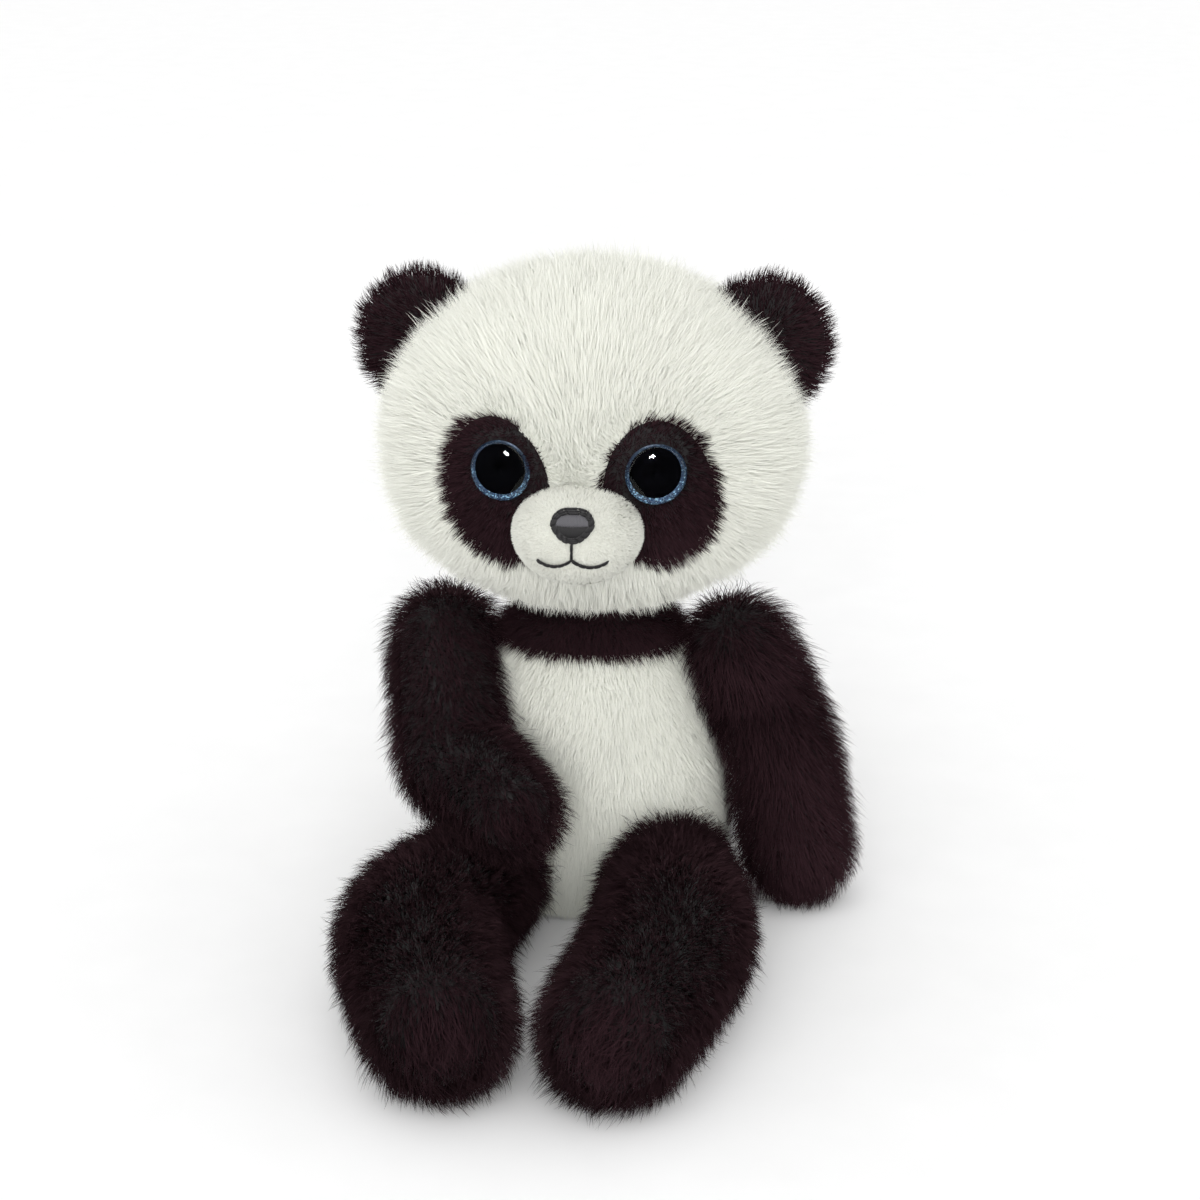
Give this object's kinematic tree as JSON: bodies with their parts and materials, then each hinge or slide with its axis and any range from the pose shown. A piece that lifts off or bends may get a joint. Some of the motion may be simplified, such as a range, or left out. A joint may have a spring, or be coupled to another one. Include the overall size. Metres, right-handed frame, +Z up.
{
  "type": "plush panda",
  "caption": "Sitting plush panda with long floppy arms and legs, dark eye patches, glitter eyes and an embroidered nose.",
  "frame": {"origin": "on the floor under the middle of the toy's footprint", "axes": "+Z up, the face looks along -Y, +X is the toy's own left"},
  "size_m": [0.1536, 0.2052, 0.1975],
  "materials": {
    "white_pile": "long brushed pile",
    "dark_pile": "long brushed pile",
    "short_pile": "short velvety pile",
    "fibre": "loose polyester fibre",
    "pellets": "cotton bag of plastic pellets",
    "grey_thread": "satin stitch",
    "black_thread": "satin stitch",
    "clear_plastic": "polished clear",
    "black_paint": "gloss black",
    "glitter_foil": "blue glitter",
    "white_plastic": "moulded"
  },
  "bodies": {
    "head": {"eye_patch_left": "dark_pile", "eye_lens_left": "clear_plastic", "eye_pupil_left": "black_paint", "eye_glitter_disc_left": "glitter_foil", "eye_lock_washer_left": "white_plastic", "head_side_left": "white_pile", "eye_patch_right": "dark_pile", "eye_lens_right": "clear_plastic", "eye_pupil_right": "black_paint", "eye_glitter_disc_right": "glitter_foil", "eye_lock_washer_right": "white_plastic", "head_side_right": "white_pile", "face_panel": "white_pile", "chin_panel": "white_pile", "crown_gusset": "white_pile", "head_stuffing": "fibre", "muzzle_cover": "short_pile", "muzzle_stuffing": "fibre", "nose_satin_stitch": "grey_thread", "nose_outline_stitch": "black_thread", "mouth_stitch": "black_thread"},
    "ear_left": {"ear_front_left": "dark_pile", "ear_back_left": "dark_pile"},
    "ear_right": {"ear_front_right": "dark_pile", "ear_back_right": "dark_pile"},
    "upper_arm_left": {"upper_arm_left_upper_panel": "dark_pile", "upper_arm_left_under_panel": "dark_pile", "upper_arm_left_stuffing": "fibre"},
    "forearm_left": {"forearm_left_upper_panel": "dark_pile", "forearm_left_under_panel": "dark_pile", "forearm_left_stuffing": "fibre"},
    "upper_arm_right": {"upper_arm_right_upper_panel": "dark_pile", "upper_arm_right_under_panel": "dark_pile", "upper_arm_right_stuffing": "fibre"},
    "forearm_right": {"forearm_right_upper_panel": "dark_pile", "forearm_right_under_panel": "dark_pile", "forearm_right_stuffing": "fibre"},
    "thigh_left": {"thigh_left_upper_panel": "dark_pile", "thigh_left_under_panel": "dark_pile", "thigh_left_stuffing": "fibre"},
    "foot_left": {"foot_left_upper_panel": "dark_pile", "foot_left_under_panel": "dark_pile", "foot_left_stuffing": "fibre"},
    "thigh_right": {"thigh_right_upper_panel": "dark_pile", "thigh_right_under_panel": "dark_pile", "thigh_right_stuffing": "fibre"},
    "foot_right": {"foot_right_upper_panel": "dark_pile", "foot_right_under_panel": "dark_pile", "foot_right_stuffing": "fibre"},
    "torso": {"seat_panel": "white_pile", "belly_panel": "white_pile", "back_panel_left": "white_pile", "back_panel_right": "white_pile", "chest_band_front": "dark_pile", "chest_band_back": "dark_pile", "pellet_bag": "pellets", "torso_stuffing": "fibre"},
    "neck": {"neck_stuffing": "fibre"}
  },
  "joints": [
    {"name": "neck_turn", "type": "hinge", "parent": "torso", "child": "neck", "pos_m": [-0.00609, 0.05359, 0.094], "axis": [0, 0, 1], "range_deg": [-35, 35], "stiffness_Nm_per_rad": 0.08},
    {"name": "head_nod", "type": "hinge", "parent": "neck", "child": "head", "pos_m": [-0.00609, 0.05359, 0.094], "axis": [1, 0, 0], "range_deg": [-10, 8], "stiffness_Nm_per_rad": 0.25},
    {"name": "ear_left_bend", "type": "hinge", "parent": "head", "child": "ear_left", "pos_m": [0.04381, 0.05509, 0.17491], "axis": [-0.5446, 0, 0.8387], "range_deg": [-15, 15], "stiffness_Nm_per_rad": 0.01},
    {"name": "ear_right_bend", "type": "hinge", "parent": "head", "child": "ear_right", "pos_m": [-0.05599, 0.05509, 0.17491], "axis": [0.5446, 0, 0.8387], "range_deg": [-15, 15], "stiffness_Nm_per_rad": 0.01},
    {"name": "shoulder_left_raise", "type": "hinge", "parent": "torso", "child": "upper_arm_left", "pos_m": [0.03972, 0.05009, 0.0797], "axis": [-1, 0, 0], "range_deg": [0, 90], "stiffness_Nm_per_rad": 0.02},
    {"name": "elbow_left_bend", "type": "hinge", "parent": "upper_arm_left", "child": "forearm_left", "pos_m": [0.05434, 0.04609, 0.04835], "axis": [0, -1, 0], "range_deg": [0, 35], "stiffness_Nm_per_rad": 0.01},
    {"name": "shoulder_right_raise", "type": "hinge", "parent": "torso", "child": "upper_arm_right", "pos_m": [-0.0519, 0.04909, 0.0797], "axis": [-1, 0, 0], "range_deg": [0, 35], "stiffness_Nm_per_rad": 0.02},
    {"name": "elbow_right_bend", "type": "hinge", "parent": "upper_arm_right", "child": "forearm_right", "pos_m": [-0.0449, 0.01604, 0.0546], "axis": [-1, 0, 0], "range_deg": [0, 25], "stiffness_Nm_per_rad": 0.01},
    {"name": "hip_left_spread", "type": "hinge", "parent": "torso", "child": "thigh_left", "pos_m": [0.02057, 0.0264, 0.016], "axis": [0, 0, 1], "range_deg": [-2, 10], "stiffness_Nm_per_rad": 0.05},
    {"name": "knee_left_lift", "type": "hinge", "parent": "thigh_left", "child": "foot_left", "pos_m": [0.02457, -0.03165, 0.0215], "axis": [-0.9697, 0.2443, 0], "range_deg": [0, 35], "stiffness_Nm_per_rad": 0.02},
    {"name": "hip_right_spread", "type": "hinge", "parent": "torso", "child": "thigh_right", "pos_m": [-0.03275, 0.0264, 0.016], "axis": [0, 0, -1], "range_deg": [-2, 10], "stiffness_Nm_per_rad": 0.05},
    {"name": "knee_right_lift", "type": "hinge", "parent": "thigh_right", "child": "foot_right", "pos_m": [-0.04875, -0.03595, 0.0215], "axis": [-0.9642, -0.265, 0], "range_deg": [0, 35], "stiffness_Nm_per_rad": 0.02}
  ]
}
